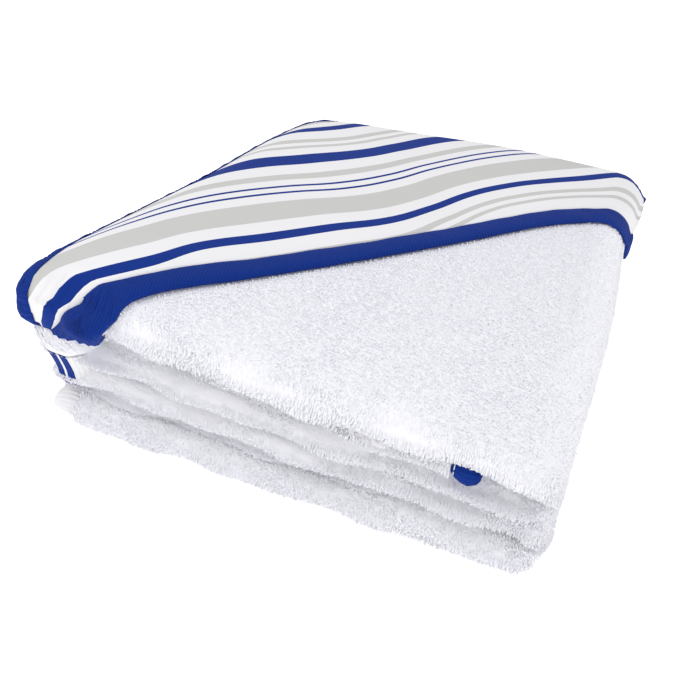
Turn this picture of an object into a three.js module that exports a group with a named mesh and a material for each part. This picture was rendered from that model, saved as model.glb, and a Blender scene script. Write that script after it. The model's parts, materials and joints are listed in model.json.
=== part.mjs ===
// A hooded baby bath towel, folded into a stack for a shelf or a gift box.
//
// Every piece is cut in one flat pattern and folded by one function, so the pieces nest in the stack
// as they do in the real towel. The flat pattern has u along the towel's width, v along its length
// and w through its thickness; w is positive on the face that ends up outside. Millimetres, +Z up.
//
// The towel is folded three times:
//   1. both short ends are turned under to the middle: panels a, b, c and d along v
//   2. the long strip is folded in thirds across its width: q1 over q2, then q3 over q1
//   3. the far half is folded under, which leaves the hood on top and the last fold at the back
import * as THREE from 'three';
import { mergeVertices } from 'three/addons/utils/BufferGeometryUtils.js';

// ---------- driving dimensions ----------
const stackWidth = 240; // left folds to right folds
const stackDepth = 300; // front folds to the edge of the hood's corner
const sheetThickness = 3.7; // terry with its pile, lightly pressed
const sheetGap = 0.4; // between the two sheets of one fold
const pairGap = 0.5; // between the folded pairs q1 and q2
const tuckGap = 6.2; // between q1 and q3, which the hood's left end lies in
const packetGap = 11.2; // between the upper and the lower half, which the hood's right end lies in
const frontFoldLength = 22; // cloth taken up by each front fold
const backSquash = 0.7; // how flat the last fold lies: its depth over its radius
const backFoldLength = 60; // cloth taken up by the last fold, on the middle of the sheets
const endSetback = 4; // from the last fold to the short ends
const innerEdgeSetback = 16; // from the right fold's start to the edge that lies inside it
const leftEdgeSetback = 2; // from the left folds to the edge of q3
const cornerRadius = 38; // of the towel's corners
const bindingWidth = 11;
const bindingWall = 0.4;
const marginThickness = 1.2; // terry pressed inside the binding
const clearance = 0.2; // between pieces that touch
const liningThickness = 2.0;
const panelThickness = 0.8;
const frontBindingWidth = 12;
const frontBindingEdge = 2.9; // thickness of the puffed binding at its two edges
const frontBindingCrown = 4.2; // and along its middle
const hoodTuck = 18; // how far the hood's left end runs on round the front fold
const frontSeamGap = 0.8; // from the front binding to the hood behind it, which folds on the slant
const threadWidth = 1;
const threadThickness = 0.3;
const threadInset = 1.4; // from a binding's inner edge to its row of stitches

const foldSegments = 6;
const backFoldSegments = 10;
const cornerSegments = 6;

// ---------- sizes that follow ----------
const pitch = sheetThickness + sheetGap;
const pairPitch = 2 * pitch + pairGap;
const foldRadius = pitch / 2; // of the front folds, on the middle of the sheet
const packetHeight = 2 * pairPitch + 2 * pitch + tuckGap;
const leftFoldRadius = pairPitch;
const rightFoldRadius = packetHeight / 2;
const leftFoldLength = Math.PI * (leftFoldRadius - pitch);
const rightFoldLength = Math.PI * (rightFoldRadius - pitch / 2);
const thirdWidth = stackWidth - leftFoldRadius - rightFoldRadius; // flat part of q2
const q1Length = thirdWidth - innerEdgeSetback;
const q3Length = thirdWidth + leftFoldRadius - leftEdgeSetback;
const halfBackFold = backFoldLength / 2;
const frontReach = foldRadius + sheetThickness / 2;
const panelReach = stackDepth - frontReach + endSetback + halfBackFold; // middle to front fold
const endPanel = panelReach - halfBackFold - endSetback; // flat length of panels a and d

const uLeftFold = q1Length;
const uMiddle = uLeftFold + leftFoldLength;
const uRightFold = uMiddle + thirdWidth;
const uLast = uRightFold + rightFoldLength;
const towelWidth = uLast + q3Length;

const vFold = endPanel;
const vMiddlePanels = vFold + frontFoldLength;
const vFarFold = vMiddlePanels + 2 * panelReach;
const vLast = vFarFold + frontFoldLength;
const towelLength = vLast + endPanel;
const vBackFold = vMiddlePanels + panelReach - halfBackFold;

const hoodLeg = vFold + hoodTuck;
const bindingFace = marginThickness / 2 + clearance + bindingWall; // half the binding's thickness
const insideBinding = bindingWidth + clearance;
const liningBottom = sheetThickness / 2 + clearance;
const panelBottom = liningBottom + liningThickness + clearance;
const panelTop = panelBottom + panelThickness;
const edgeBindingTop = panelTop - clearance;
const hoodPanelStart = frontBindingWidth + frontSeamGap;

// ---------- folding ----------
/** Front folds: the short ends turn under. Returns the place along the strip and its level. */
function foldEnds(v, w) {
  const radius = foldRadius + w;
  if (v <= vFold) return [-halfBackFold - endSetback - v, foldRadius - w];
  if (v < vMiddlePanels) {
    const angle = ((v - vFold) / frontFoldLength) * Math.PI;
    return [-panelReach - radius * Math.sin(angle), pitch - radius * Math.cos(angle)];
  }
  if (v <= vFarFold) return [v - vMiddlePanels - panelReach, pitch + radius];
  if (v < vLast) {
    const angle = ((v - vFarFold) / frontFoldLength) * Math.PI;
    return [panelReach + radius * Math.sin(angle), pitch + radius * Math.cos(angle)];
  }
  return [panelReach - (v - vLast), foldRadius - w];
}

/** Side folds: thirds across the width. Returns x and the level in the folded strip. */
function foldThirds(u, level) {
  if (u <= uLeftFold) return [thirdWidth - innerEdgeSetback - u, 2 * pairPitch - level];
  if (u < uMiddle) {
    const angle = ((u - uLeftFold) / leftFoldLength) * Math.PI;
    const radius = leftFoldRadius - level;
    return [-radius * Math.sin(angle), pairPitch + radius * Math.cos(angle)];
  }
  if (u <= uRightFold) return [u - uMiddle, level];
  if (u < uLast) {
    const angle = ((u - uRightFold) / rightFoldLength) * Math.PI;
    const radius = rightFoldRadius - level;
    return [thirdWidth + radius * Math.sin(angle), rightFoldRadius - radius * Math.cos(angle)];
  }
  return [thirdWidth - (u - uLast), packetHeight - level];
}

/** Back fold: the far half of the strip goes under. Returns y and z. */
function foldBack(along, level) {
  const radius = level + packetGap / 2;
  if (along <= -halfBackFold) return [along + halfBackFold, radius];
  if (along < halfBackFold) {
    const angle = ((along + halfBackFold) / backFoldLength) * Math.PI;
    return [backSquash * radius * Math.sin(angle), radius * Math.cos(angle)];
  }
  return [halfBackFold - along, -radius];
}

function foldPoint(u, v, w) {
  const [along, pairLevel] = foldEnds(v, w);
  const [x, level] = foldThirds(u, pairLevel);
  const [y, z] = foldBack(along, level);
  return [x, y, z];
}

// ---------- the flat pattern ----------
/** Lines that cut a fold into segments, from its start over its length. */
function foldLines(start, length, segments) {
  return Array.from({ length: segments + 1 }, (_, i) => start + (length * i) / segments);
}

const uLines = [
  ...foldLines(uLeftFold, leftFoldLength, foldSegments),
  ...foldLines(uRightFold, rightFoldLength, foldSegments),
];
const vLines = [
  ...foldLines(vFold, frontFoldLength, foldSegments),
  ...foldLines(vBackFold, backFoldLength, backFoldSegments),
  ...foldLines(vFarFold, frontFoldLength, foldSegments),
];

/** Stations round the towel's edge from the hood's corner: each holds a point and the way inwards. */
function edgeStations() {
  const stations = [];
  const side = (from, to, inwards, lines, axis) => {
    const low = Math.min(from[axis], to[axis]);
    const high = Math.max(from[axis], to[axis]);
    const cuts = lines.filter((line) => line > low && line < high).sort((p, q) => p - q);
    if (from[axis] > to[axis]) cuts.reverse();
    for (const cut of [from[axis], ...cuts, to[axis]]) {
      const point = [...from];
      point[axis] = cut;
      stations.push({ point, inwards });
    }
  };
  const corner = (centre, startAngle) => {
    for (let i = 1; i < cornerSegments; i++) {
      const angle = startAngle + ((Math.PI / 2) * i) / cornerSegments;
      const out = [Math.cos(angle), Math.sin(angle)];
      const point = centre.map((c, axis) => c + cornerRadius * out[axis]);
      stations.push({ point, inwards: out.map((o) => -o) });
    }
  };
  const [left, right] = [cornerRadius, towelWidth - cornerRadius];
  const [near, far] = [cornerRadius, towelLength - cornerRadius];
  const hoodLines = [...vLines, hoodLeg];
  const backLines = [...uLines, towelWidth - hoodLeg];
  side([towelWidth, near], [towelWidth, far], [-1, 0], hoodLines, 1);
  corner([right, far], 0);
  side([right, towelLength], [left, towelLength], [0, -1], uLines, 0);
  corner([left, far], Math.PI / 2);
  side([0, far], [0, near], [1, 0], vLines, 1);
  corner([left, near], Math.PI);
  side([left, 0], [right, 0], [0, 1], backLines, 0);
  corner([right, near], 1.5 * Math.PI);
  return stations;
}

const stations = edgeStations();

function insetPoint({ point, inwards }, inset) {
  return [point[0] + inwards[0] * inset, point[1] + inwards[1] * inset];
}

/** Keeps the part of a convex outline where a*u + b*v <= c. */
function clip(outline, a, b, c) {
  const kept = [];
  outline.forEach((point, i) => {
    const next = outline[(i + 1) % outline.length];
    const here = c - a * point[0] - b * point[1];
    const there = c - a * next[0] - b * next[1];
    if (here >= 0) kept.push(point);
    if (here * there < 0) {
      const t = here / (here - there);
      kept.push([point[0] + t * (next[0] - point[0]), point[1] + t * (next[1] - point[1])]);
    }
  });
  return kept;
}

/** Cuts a convex outline along every fold line that crosses it. */
function cutAtFolds(outline) {
  const spans = (lines) => [-1e4, ...lines, 1e4].slice(1).map((high, i) => [[-1e4, ...lines][i], high]);
  const cells = [];
  for (const [uLow, uHigh] of spans(uLines)) {
    const column = clip(clip(outline, 1, 0, uHigh), -1, 0, -uLow);
    if (column.length < 3) continue;
    for (const [vLow, vHigh] of spans(vLines)) {
      const cell = clip(clip(column, 0, 1, vHigh), 0, -1, -vLow);
      if (cell.length > 2) cells.push(cell);
    }
  }
  return cells;
}

// ---------- turning faces into folded solids ----------
const flatKey = ([u, v, w]) => `${Math.round(u * 1e3)},${Math.round(v * 1e3)},${Math.round(w * 1e3)}`;

/** Collects polygons in the flat pattern and folds them into one closed mesh. */
class FoldedSolid {
  constructor() {
    this.corners = [];
  }

  face(points) {
    const distinct = points.filter((p, i) => flatKey(p) !== flatKey(points[(i + 1) % points.length]));
    for (let i = 1; i + 1 < distinct.length; i++) {
      this.corners.push(distinct[0], distinct[i], distinct[i + 1]);
    }
  }

  mesh(name, material) {
    const geometry = new THREE.BufferGeometry();
    const folded = this.corners.flatMap((corner) => foldPoint(...corner));
    geometry.setAttribute('position', new THREE.Float32BufferAttribute(folded, 3));
    const merged = mergeVertices(geometry, 1e-4);
    merged.computeVertexNormals();
    const made = new THREE.Mesh(merged, material);
    made.name = name;
    return made;
  }
}

/** Adds a slab: convex outlines that share their sides, between two heights. */
function addSlab(solid, outlines, bottom, top) {
  const sides = new Map();
  const edgeKey = (p, q) => `${flatKey([...p, 0])}|${flatKey([...q, 0])}`;
  for (const cell of outlines.flatMap(cutAtFolds)) {
    solid.face(cell.map((p) => [...p, top(...p)]));
    solid.face(cell.map((p) => [...p, bottom(...p)]).reverse());
    cell.forEach((p, i) => {
      const q = cell[(i + 1) % cell.length];
      if (flatKey([...p, 0]) === flatKey([...q, 0])) return;
      if (sides.has(edgeKey(q, p))) sides.delete(edgeKey(q, p));
      else sides.set(edgeKey(p, q), [p, q]);
    });
  }
  return [...sides.values()];
}

/** Closes a slab's sides with upright walls. */
function addWalls(solid, sides, bottom, top) {
  for (const [p, q] of sides) {
    solid.face([[...p, bottom(...p)], [...q, bottom(...q)], [...q, top(...q)], [...p, top(...p)]]);
  }
}

function slab(outlines, bottom, top) {
  const solid = new FoldedSolid();
  addWalls(solid, addSlab(solid, outlines, bottom, top), bottom, top);
  return solid;
}

/** Sweeps a section of [inset, w] points along edge stations, closed round the towel or with two ends. */
function sweep(path, section, closed = false) {
  const solid = new FoldedSolid();
  const rings = path.map((station) => section.map(([inset, w]) => [...insetPoint(station, inset), w]));
  const count = closed ? rings.length : rings.length - 1;
  for (let i = 0; i < count; i++) {
    const [here, next] = [rings[i], rings[(i + 1) % rings.length]];
    section.forEach((_, j) => {
      const k = (j + 1) % section.length;
      solid.face([here[j], here[k], next[k], next[j]]);
    });
  }
  if (closed) return solid;
  const contour = section.map(([inset, w]) => new THREE.Vector2(inset, w));
  const turn = Math.sign(THREE.ShapeUtils.area(contour));
  for (const triangle of THREE.ShapeUtils.triangulateShape(contour, [])) {
    const sameTurn = Math.sign(THREE.ShapeUtils.area(triangle.map((corner) => contour[corner]))) === turn;
    const [a, b, c] = sameTurn ? triangle : triangle.toReversed();
    solid.face([rings[0][c], rings[0][b], rings[0][a]]);
    solid.face([rings.at(-1)[a], rings.at(-1)[b], rings.at(-1)[c]]);
  }
  return solid;
}

/** The stations between two places on the edge, each moved by a gap so that neighbours stay apart. */
function edgePath(fromIndex, toIndex, gap) {
  const path = [];
  for (let i = fromIndex; i !== toIndex; i = (i + 1) % stations.length) path.push(stations[i]);
  path.push(stations[toIndex]);
  const moved = path.map((station) => ({ ...station, point: [...station.point] }));
  const shift = (here, towards) => {
    const step = new THREE.Vector2(...towards.point).sub(new THREE.Vector2(...here.point));
    step.setLength(gap);
    here.point = [here.point[0] + step.x, here.point[1] + step.y];
  };
  shift(moved[0], moved[1]);
  shift(moved.at(-1), moved.at(-2));
  return moved;
}

function stationAt(axis, value, otherAxisValue) {
  return stations.findIndex(({ point }) => (
    Math.abs(point[axis] - value) < 1e-6 && Math.abs(point[1 - axis] - otherAxisValue) < 1e-6
  ));
}

const hoodFrontEnd = stationAt(1, hoodLeg, towelWidth); // on the left side of the stack
const hoodBackEnd = stationAt(0, towelWidth - hoodLeg, 0); // past the right fold

// ---------- materials ----------
function cloth(color) {
  return new THREE.MeshStandardMaterial({ color, roughness: 0.95, metalness: 0 });
}

// ---------- terry sheet ----------
/** One sheet of terry. Its margin is pressed thin where the binding holds it. */
function terryBody() {
  const face = sheetThickness / 2;
  const pressed = marginThickness / 2;
  const solid = new FoldedSolid();
  const inner = stations.map((station) => insetPoint(station, insideBinding));
  addSlab(solid, [inner], () => -face, () => face);
  const marginStart = bindingWall + clearance;
  const profile = [
    [insideBinding, -face],
    [insideBinding, -pressed],
    [marginStart, -pressed],
    [marginStart, pressed],
    [insideBinding, pressed],
    [insideBinding, face],
  ];
  stations.forEach((station, i) => {
    const next = stations[(i + 1) % stations.length];
    for (let j = 0; j + 1 < profile.length; j++) {
      const [p, q] = [profile[j], profile[j + 1]];
      solid.face([
        [...insetPoint(station, p[0]), p[1]],
        [...insetPoint(next, p[0]), p[1]],
        [...insetPoint(next, q[0]), q[1]],
        [...insetPoint(station, q[0]), q[1]],
      ]);
    }
  });
  return solid.mesh('terry_body', cloth('#f3f2f4'));
}

// ---------- bindings along the towel's edge ----------
/** A strip folded over the edge: two walls and a spine, thicker on top where it holds the hood. */
function bindingSection(top) {
  const face = bindingFace;
  const inside = marginThickness / 2 + clearance;
  return [
    [0, -face],
    [bindingWidth, -face],
    [bindingWidth, -inside],
    [bindingWall, -inside],
    [bindingWall, inside],
    [bindingWidth, inside],
    [bindingWidth, top],
    [0, top],
  ];
}

function stitchSection(face) {
  const inset = bindingWidth - threadInset;
  const bottom = face + clearance;
  return [
    [inset - threadWidth, bottom],
    [inset, bottom],
    [inset, bottom + threadThickness],
    [inset - threadWidth, bottom + threadThickness],
  ];
}

function edgeTrim() {
  const plainEdge = edgePath(hoodFrontEnd, hoodBackEnd, clearance);
  const hoodEdge = edgePath(hoodBackEnd, hoodFrontEnd, 0);
  const sections = [
    ['edge_binding', plainEdge, bindingSection(bindingFace), '#e9e9ec'],
    ['edge_stitching', plainEdge, stitchSection(bindingFace), '#f5f5f5'],
    ['hood_edge_binding', hoodEdge, bindingSection(edgeBindingTop), '#0f3796'],
    ['hood_edge_stitching', hoodEdge, stitchSection(edgeBindingTop), '#0f3796'],
  ];
  return sections.map(([name, path, section, color]) => (
    sweep(path, section).mesh(name, cloth(color))
  ));
}

// ---------- hood ----------
/** The towel's outline inside the binding, kept from one distance behind the hood's front edge. */
function hoodOutline(fromFront, toFront = Infinity) {
  const inner = stations.map((station) => insetPoint(station, insideBinding));
  // Along the front edge v - u is constant: it runs from one leg's end to the other's.
  const edge = hoodLeg - towelWidth;
  const behind = clip(inner, -1, 1, edge - fromFront * Math.SQRT2);
  return toFront === Infinity ? behind : clip(behind, 1, -1, toFront * Math.SQRT2 - edge);
}

/** Height of the puffed front binding at a place in the flat pattern. */
function frontBindingTop(u, v) {
  const fromFront = (hoodLeg - towelWidth + u - v) / Math.SQRT2;
  const share = THREE.MathUtils.clamp(fromFront / frontBindingWidth, 0, 1);
  const rise = Math.sin(share * Math.PI) * (frontBindingCrown - frontBindingEdge);
  return liningBottom + frontBindingEdge + rise;
}

function hoodPieces() {
  const level = (w) => () => w;
  const outline = [hoodOutline(hoodPanelStart)];
  const bands = [0, 0.15, 0.35, 0.65, 0.85, 1].map((share) => share * frontBindingWidth);
  const strips = bands.slice(1).map((end, i) => hoodOutline(bands[i], end));
  const seamStart = hoodPanelStart + threadInset;
  const seam = [hoodOutline(seamStart, seamStart + threadWidth)];
  const seamBottom = panelTop + clearance;
  return [
    slab(outline, level(liningBottom), level(liningBottom + liningThickness))
      .mesh('hood_lining', cloth('#f3f2f4')),
    slab(outline, level(panelBottom), level(panelTop)).mesh('hood_panel', cloth('#e6e6ea')),
    slab(strips, level(liningBottom), frontBindingTop).mesh('hood_front_binding', cloth('#0f3796')),
    slab(seam, level(seamBottom), level(seamBottom + threadThickness))
      .mesh('hood_front_stitching', cloth('#0f3796')),
  ];
}

// ---------- assembly ----------
const towel = new THREE.Group();
towel.name = 'hooded_baby_towel';
towel.add(terryBody(), ...edgeTrim(), ...hoodPieces());

// The origin is the middle of the footprint, on the surface that the stack stands on.
const box = new THREE.Box3().setFromObject(towel);
const middle = box.getCenter(new THREE.Vector3());
towel.position.set(-middle.x, -middle.y, -box.min.z);

export default towel;
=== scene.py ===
"""A hooded baby bath towel of white terry, folded into a stack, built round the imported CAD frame.

Every piece of cloth is laid out in one flat pattern and folded by one map, as a real towel is: both
short ends turned under, then thirds across the width, then the far half under. A second map settles
the folded stack: soft rounded edges, a crowned top and corners of different heights. Lengths are in
metres. In the pattern, u runs along the towel's width, v along its length and w out of the face that
ends up on the outside.
"""

import json
import logging
import math
from dataclasses import dataclass
from enum import Enum
from typing import Sequence

import bpy
import numpy as np
from mathutils import Matrix, Vector


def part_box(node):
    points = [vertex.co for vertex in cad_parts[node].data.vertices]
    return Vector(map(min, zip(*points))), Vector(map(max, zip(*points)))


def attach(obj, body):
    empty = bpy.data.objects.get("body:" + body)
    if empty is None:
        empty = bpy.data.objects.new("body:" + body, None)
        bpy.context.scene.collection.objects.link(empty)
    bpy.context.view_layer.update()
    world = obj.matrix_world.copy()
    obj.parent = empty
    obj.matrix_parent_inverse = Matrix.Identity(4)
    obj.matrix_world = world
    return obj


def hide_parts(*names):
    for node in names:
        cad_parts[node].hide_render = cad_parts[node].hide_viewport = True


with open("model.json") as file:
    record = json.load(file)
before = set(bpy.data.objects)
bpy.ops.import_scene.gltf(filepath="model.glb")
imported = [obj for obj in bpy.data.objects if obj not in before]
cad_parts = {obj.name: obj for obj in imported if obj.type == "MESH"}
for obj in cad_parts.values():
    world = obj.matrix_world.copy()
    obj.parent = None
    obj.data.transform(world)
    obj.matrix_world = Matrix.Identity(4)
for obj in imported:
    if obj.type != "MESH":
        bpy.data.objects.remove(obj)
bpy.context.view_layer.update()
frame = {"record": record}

MM = 0.001
LOG = logging.getLogger("towel")

Array = np.ndarray


# ---------- the flat pattern ----------
def smooth(x: Array, low: float, high: float) -> Array:
    """Eases from 0 at a low place to 1 at a high one.

    Args:
        x: The places.
        low: Where the rise starts.
        high: Where it ends.

    Returns:
        The shares of the rise.
    """
    t = np.clip((x - low) / (high - low), 0, 1)
    return t * t * (3 - 2 * t)


@dataclass(frozen=True)
class TowelPattern:
    """Sizes of the cut towel and of its folds, which repeat the CAD model's.

    The bow of the hood's front edge is the exception: pairs of a distance along that edge and how far
    it lies ahead of a straight line there, in millimetres.
    """

    stack_width: float = 240 * MM
    stack_depth: float = 300 * MM
    sheet: float = 3.7 * MM
    sheet_gap: float = 0.4 * MM
    pair_gap: float = 0.5 * MM
    tuck_gap: float = 6.2 * MM
    packet_gap: float = 11.2 * MM
    front_fold: float = 22 * MM
    back_squash: float = 0.7
    back_fold: float = 60 * MM
    end_setback: float = 4 * MM
    inner_edge_setback: float = 16 * MM
    left_edge_setback: float = 2 * MM
    corner_radius: float = 38 * MM
    binding_width: float = 11 * MM
    hood_tuck: float = 18 * MM
    front_binding_width: float = 12 * MM
    bow: tuple[tuple[float, float], ...] = (
        (-10, 0), (0, 2), (15, 7), (30, 10.5), (45, 12.3), (58, 12.6), (75, 11.2), (95, 9.8),
        (165, 9.6), (210, 7.5), (255, 5.2), (300, 4.0), (340, 1.0), (380, -3.0), (460, -4.0),
    )

    @property
    def pitch(self) -> float:
        """Rise from one sheet to the next within a folded pair."""
        return self.sheet + self.sheet_gap

    @property
    def pair_pitch(self) -> float:
        """Rise from one folded pair to the next."""
        return 2 * self.pitch + self.pair_gap

    @property
    def packet(self) -> float:
        """Height of three folded pairs."""
        return 2 * self.pair_pitch + 2 * self.pitch + self.tuck_gap

    @property
    def third(self) -> float:
        """Flat width of the middle third."""
        return self.stack_width - self.pair_pitch - self.packet / 2

    @property
    def reach(self) -> float:
        """From the middle of the strip to a front fold."""
        front = self.pitch / 2 + self.sheet / 2
        return self.stack_depth - front + self.end_setback + self.back_fold / 2

    @property
    def end_panel(self) -> float:
        """Flat length of a turned-under end."""
        return self.reach - self.back_fold / 2 - self.end_setback

    @property
    def u_left_fold(self) -> float:
        """Where the left fold starts."""
        return self.third - self.inner_edge_setback

    @property
    def u_middle(self) -> float:
        """Where the middle third starts."""
        return self.u_left_fold + math.pi * (self.pair_pitch - self.pitch)

    @property
    def u_right_fold(self) -> float:
        """Where the right fold starts."""
        return self.u_middle + self.third

    @property
    def u_last(self) -> float:
        """Where the last third starts."""
        return self.u_right_fold + math.pi * (self.packet / 2 - self.pitch / 2)

    @property
    def width(self) -> float:
        """Width of the unfolded towel."""
        return self.u_last + self.third + self.pair_pitch - self.left_edge_setback

    @property
    def v_middle(self) -> float:
        """Where the middle panels start."""
        return self.end_panel + self.front_fold

    @property
    def v_far_fold(self) -> float:
        """Where the far front fold starts."""
        return self.v_middle + 2 * self.reach

    @property
    def v_last(self) -> float:
        """Where the far end panel starts."""
        return self.v_far_fold + self.front_fold

    @property
    def length(self) -> float:
        """Length of the unfolded towel."""
        return self.v_last + self.end_panel

    @property
    def hood_leg(self) -> float:
        """Length of each of the hood's sewn sides."""
        return self.end_panel + self.hood_tuck

    def edge_distance(self, u: Array, v: Array) -> Array:
        """Gives the distance from points to the towel's rounded outline.

        Args:
            u: Places along the width.
            v: Places along the length.

        Returns:
            The distances, positive inside.
        """
        half_u, half_v, radius = self.width / 2, self.length / 2, self.corner_radius
        du = np.abs(u - half_u) - (half_u - radius)
        dv = np.abs(v - half_v) - (half_v - radius)
        outside = np.hypot(np.maximum(du, 0), np.maximum(dv, 0))
        return radius - outside - np.minimum(np.maximum(du, dv), 0)

    def hood_place(self, u: Array, v: Array) -> tuple[Array, Array]:
        """Gives places on the hood.

        Args:
            u: Places along the width.
            v: Places along the length.

        Returns:
            The distance behind the hood's front edge and the distance along it from its left end.
        """
        behind = (self.hood_leg - self.width + u - v) / math.sqrt(2)
        along = (self.width - u + self.hood_leg - v) / math.sqrt(2)
        return behind, along

    def hood_bow(self, along: Array) -> Array:
        """Gives how far the hood's front edge bows forwards of a straight line.

        Args:
            along: Distances along the front edge from its left end.

        Returns:
            The distances forwards.
        """
        places, sizes = zip(*self.bow)
        return np.interp(along / MM, places, sizes) * MM


PATTERN = TowelPattern()


# ---------- folding and settling ----------
@dataclass(frozen=True)
class Folding:
    """Folds points of the flat pattern into the plain stack, as the CAD model does."""

    cut: TowelPattern = PATTERN
    front_puff: float = 1.9

    def ends(self, v: Array, w: Array) -> tuple[Array, Array]:
        """Turns both short ends under.

        Args:
            v: Places along the towel.
            w: Heights out of the sheet.

        Returns:
            The place along the strip and the level in it.
        """
        cut = self.cut
        radius = cut.pitch / 2 + w
        turn = np.pi / cut.front_fold
        near = np.clip((v - cut.end_panel) * turn, 0, np.pi)
        far = np.clip((v - cut.v_far_fold) * turn, 0, np.pi)
        rim = (self.front_puff - 1) * (cut.pitch / 2 + cut.sheet / 2)
        reach = cut.reach - rim
        end = cut.back_fold / 2 + cut.end_setback
        shrink = (reach - end) / cut.end_panel
        before = -reach + np.maximum(cut.end_panel - v, 0) * shrink
        before = before - self.front_puff * radius * np.sin(near)
        middle = (v - cut.v_middle - cut.reach) * reach / cut.reach
        after = reach + self.front_puff * radius * np.sin(far) - np.maximum(v - cut.v_last, 0) * shrink
        along = np.where(v < cut.v_middle, before, np.where(v < cut.v_far_fold, middle, after))
        level = np.where(
            v < cut.v_middle, cut.pitch - radius * np.cos(near), cut.pitch + radius * np.cos(far)
        )
        return along, level

    def thirds(self, u: Array, level: Array) -> tuple[Array, Array]:
        """Folds the strip in thirds across its width.

        Args:
            u: Places along the width.
            level: Levels in the strip.

        Returns:
            The place across the stack and the level in the folded packet.
        """
        cut = self.cut
        left_radius, right_radius = cut.pair_pitch - level, cut.packet / 2 - level
        left = np.clip((u - cut.u_left_fold) / (cut.u_middle - cut.u_left_fold), 0, 1) * np.pi
        right = np.clip((u - cut.u_right_fold) / (cut.u_last - cut.u_right_fold), 0, 1) * np.pi
        first = cut.third - cut.inner_edge_setback - u
        last = cut.third - (u - cut.u_last)
        x = np.select(
            [u <= cut.u_left_fold, u < cut.u_middle, u <= cut.u_right_fold, u < cut.u_last],
            [first, -left_radius * np.sin(left), u - cut.u_middle,
             cut.third + right_radius * np.sin(right)],
            last,
        )
        height = np.where(
            u < (cut.u_middle + cut.u_right_fold) / 2,
            cut.pair_pitch + left_radius * np.cos(left),
            cut.packet / 2 - right_radius * np.cos(right),
        )
        return x, height

    def back(self, along: Array, level: Array) -> tuple[Array, Array]:
        """Folds the far half of the strip under.

        Args:
            along: Places along the strip.
            level: Levels in the folded packet.

        Returns:
            The depth and the height in the stack.
        """
        cut = self.cut
        half = cut.back_fold / 2
        radius = level + cut.packet_gap / 2
        angle = np.clip((along + half) / cut.back_fold, 0, 1) * np.pi
        y = cut.back_squash * radius * np.sin(angle) - np.maximum(np.abs(along) - half, 0)
        return y, radius * np.cos(angle)

    def apply(self, points: Array) -> Array:
        """Folds points.

        Args:
            points: Rows of u, v and w.

        Returns:
            Rows of x, y and z in the folding's own frame.
        """
        along, pair_level = self.ends(points[:, 1], points[:, 2])
        x, level = self.thirds(points[:, 0], pair_level)
        y, z = self.back(along, level)
        return np.stack([x, y, z], axis=1)


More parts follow.
